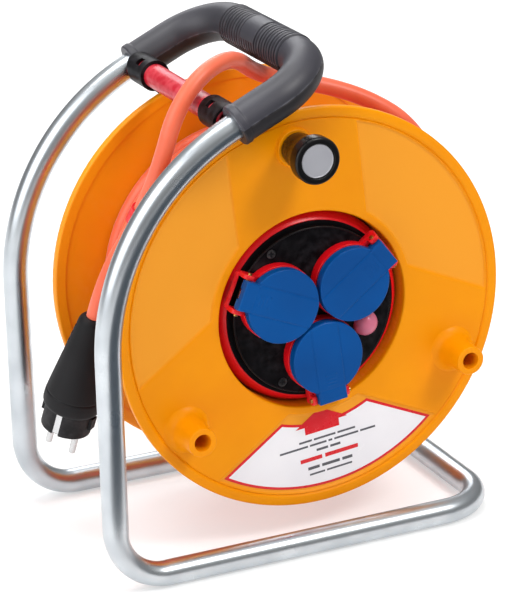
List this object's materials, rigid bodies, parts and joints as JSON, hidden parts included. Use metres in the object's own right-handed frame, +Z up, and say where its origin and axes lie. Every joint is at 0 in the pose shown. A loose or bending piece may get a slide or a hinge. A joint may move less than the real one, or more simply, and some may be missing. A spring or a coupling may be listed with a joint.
{
  "type": "extension cord reel",
  "caption": "Portable cable drum on a bent tube frame with carrying grip, crank knob, wound orange lead with plug, and round sockets with hinged blue covers.",
  "frame": {"origin": "on the floor, below the middle of the outline of frame and drum", "axes": "+X along the floor runs, from the curved side loops towards the cross tube; +Y along the drum's axle, from the socket side to the rear; +Z up"},
  "size_m": [0.317, 0.2052, 0.3632],
  "materials": {
    "galvanised_tube": "bright zinc-plated steel tube",
    "zinc_steel": "zinc-plated steel",
    "inner_plastic": "moulded, hidden inside",
    "grip_grey": "fine-grained blue-grey moulding",
    "black_plastic": "satin black moulding",
    "red_plastic": "satin red moulding",
    "orange_plastic": "satin orange-yellow moulding",
    "bush_plastic": "natural bearing plastic",
    "brass_parts": "bright",
    "carbon": "pressed carbon",
    "spring_steel": "bright spring steel",
    "well_plastic": "satin",
    "blue_plastic": "satin blue moulding",
    "gasket_rubber": "soft",
    "clear_cap": "translucent pink moulding",
    "cap_grey": "silver-grey",
    "label_white": null,
    "cable_orange": "smooth orange-red sheath",
    "plug_rubber": "moulded"
  },
  "bodies": {
    "frame": {"axle": "zinc_steel", "axle_nuts": "zinc_steel", "axle_spacer": "zinc_steel", "brush_holder": "inner_plastic", "brushes": "carbon", "cable_clip": "red_plastic", "contact_sleeves": "brass_parts", "cross_strut": "red_plastic", "earth_clips": "spring_steel", "frame_base": "galvanised_tube", "frame_upright_front": "galvanised_tube", "frame_upright_rear": "galvanised_tube", "free_cable": "cable_orange", "grip_lower_shell": "black_plastic", "grip_upper_shell": "grip_grey", "hinge_pins": "brass_parts", "lid_spring_bottom": "spring_steel", "lid_spring_left": "spring_steel", "lid_spring_right": "spring_steel", "plate_screws": "zinc_steel", "plug_body": "plug_rubber", "plug_earth_strips": "spring_steel", "plug_insert": "plug_rubber", "plug_pins": "zinc_steel", "rear_upright": "zinc_steel", "reset_cap": "clear_cap", "socket_carrier": "red_plastic", "socket_collar_bottom": "red_plastic", "socket_collar_left": "red_plastic", "socket_collar_right": "red_plastic", "socket_plate": "black_plastic", "socket_well_bottom": "well_plastic", "socket_well_left": "well_plastic", "socket_well_right": "well_plastic", "strut_clip_front": "black_plastic", "strut_clip_rear": "black_plastic", "thermal_cutout": "inner_plastic", "tube_joiner": "inner_plastic"},
    "drum": {"front_flange": "orange_plastic", "flange_foot_left": "orange_plastic", "flange_foot_right": "orange_plastic", "drum_barrel": "orange_plastic", "rear_flange": "orange_plastic", "drum_screws": "zinc_steel", "hub_bush_front": "bush_plastic", "hub_bush_rear": "bush_plastic", "slip_ring_disc": "inner_plastic", "slip_rings": "brass_parts", "crank_pin": "zinc_steel", "label": "label_white", "cable_winding": "cable_orange"},
    "crank_handle": {"crank_knob": "black_plastic", "knob_cap": "cap_grey"},
    "reset": {"reset_button": "black_plastic"},
    "cover_right": {"lid_right": "blue_plastic", "lid_gasket_right": "gasket_rubber"},
    "cover_left": {"lid_left": "blue_plastic", "lid_gasket_left": "gasket_rubber"},
    "cover_bottom": {"lid_bottom": "blue_plastic", "lid_gasket_bottom": "gasket_rubber"}
  },
  "joints": [
    {"name": "drum_spin", "type": "hinge", "parent": "frame", "child": "drum", "pos_m": [0.0135, 0, 0.17], "axis": [0, -1, 0], "continuous": true},
    {"name": "knob_spin", "type": "hinge", "parent": "drum", "child": "crank_handle", "pos_m": [0.00117, -0.08, 0.28936], "axis": [0, -1, 0], "continuous": true},
    {"name": "lid_right_hinge", "type": "hinge", "parent": "frame", "child": "cover_right", "pos_m": [0.06302, -0.0715, 0.20731], "axis": [-0.6018, 0, 0.7986], "range_deg": [0, 110], "stiffness_Nm_per_rad": 0.02, "springref_deg": -28.65, "deforming": ["lid_spring_right"]},
    {"name": "lid_left_hinge", "type": "hinge", "parent": "frame", "child": "cover_left", "pos_m": [-0.04357, -0.0715, 0.19423], "axis": [-0.3907, 0, -0.9205], "range_deg": [0, 110], "stiffness_Nm_per_rad": 0.02, "springref_deg": -28.65, "deforming": ["lid_spring_left"]},
    {"name": "lid_bottom_hinge", "type": "hinge", "parent": "frame", "child": "cover_bottom", "pos_m": [0.02106, -0.0715, 0.10846], "axis": [0.9925, 0, 0.1219], "range_deg": [0, 110], "stiffness_Nm_per_rad": 0.02, "springref_deg": -28.65, "deforming": ["lid_spring_bottom"]},
    {"name": "reset_press", "type": "slide", "parent": "frame", "child": "reset", "axis": [0, 1, 0], "range_m": [0, 0.002], "stiffness_N_per_m": 400, "springref_m": -0.001}
  ]
}
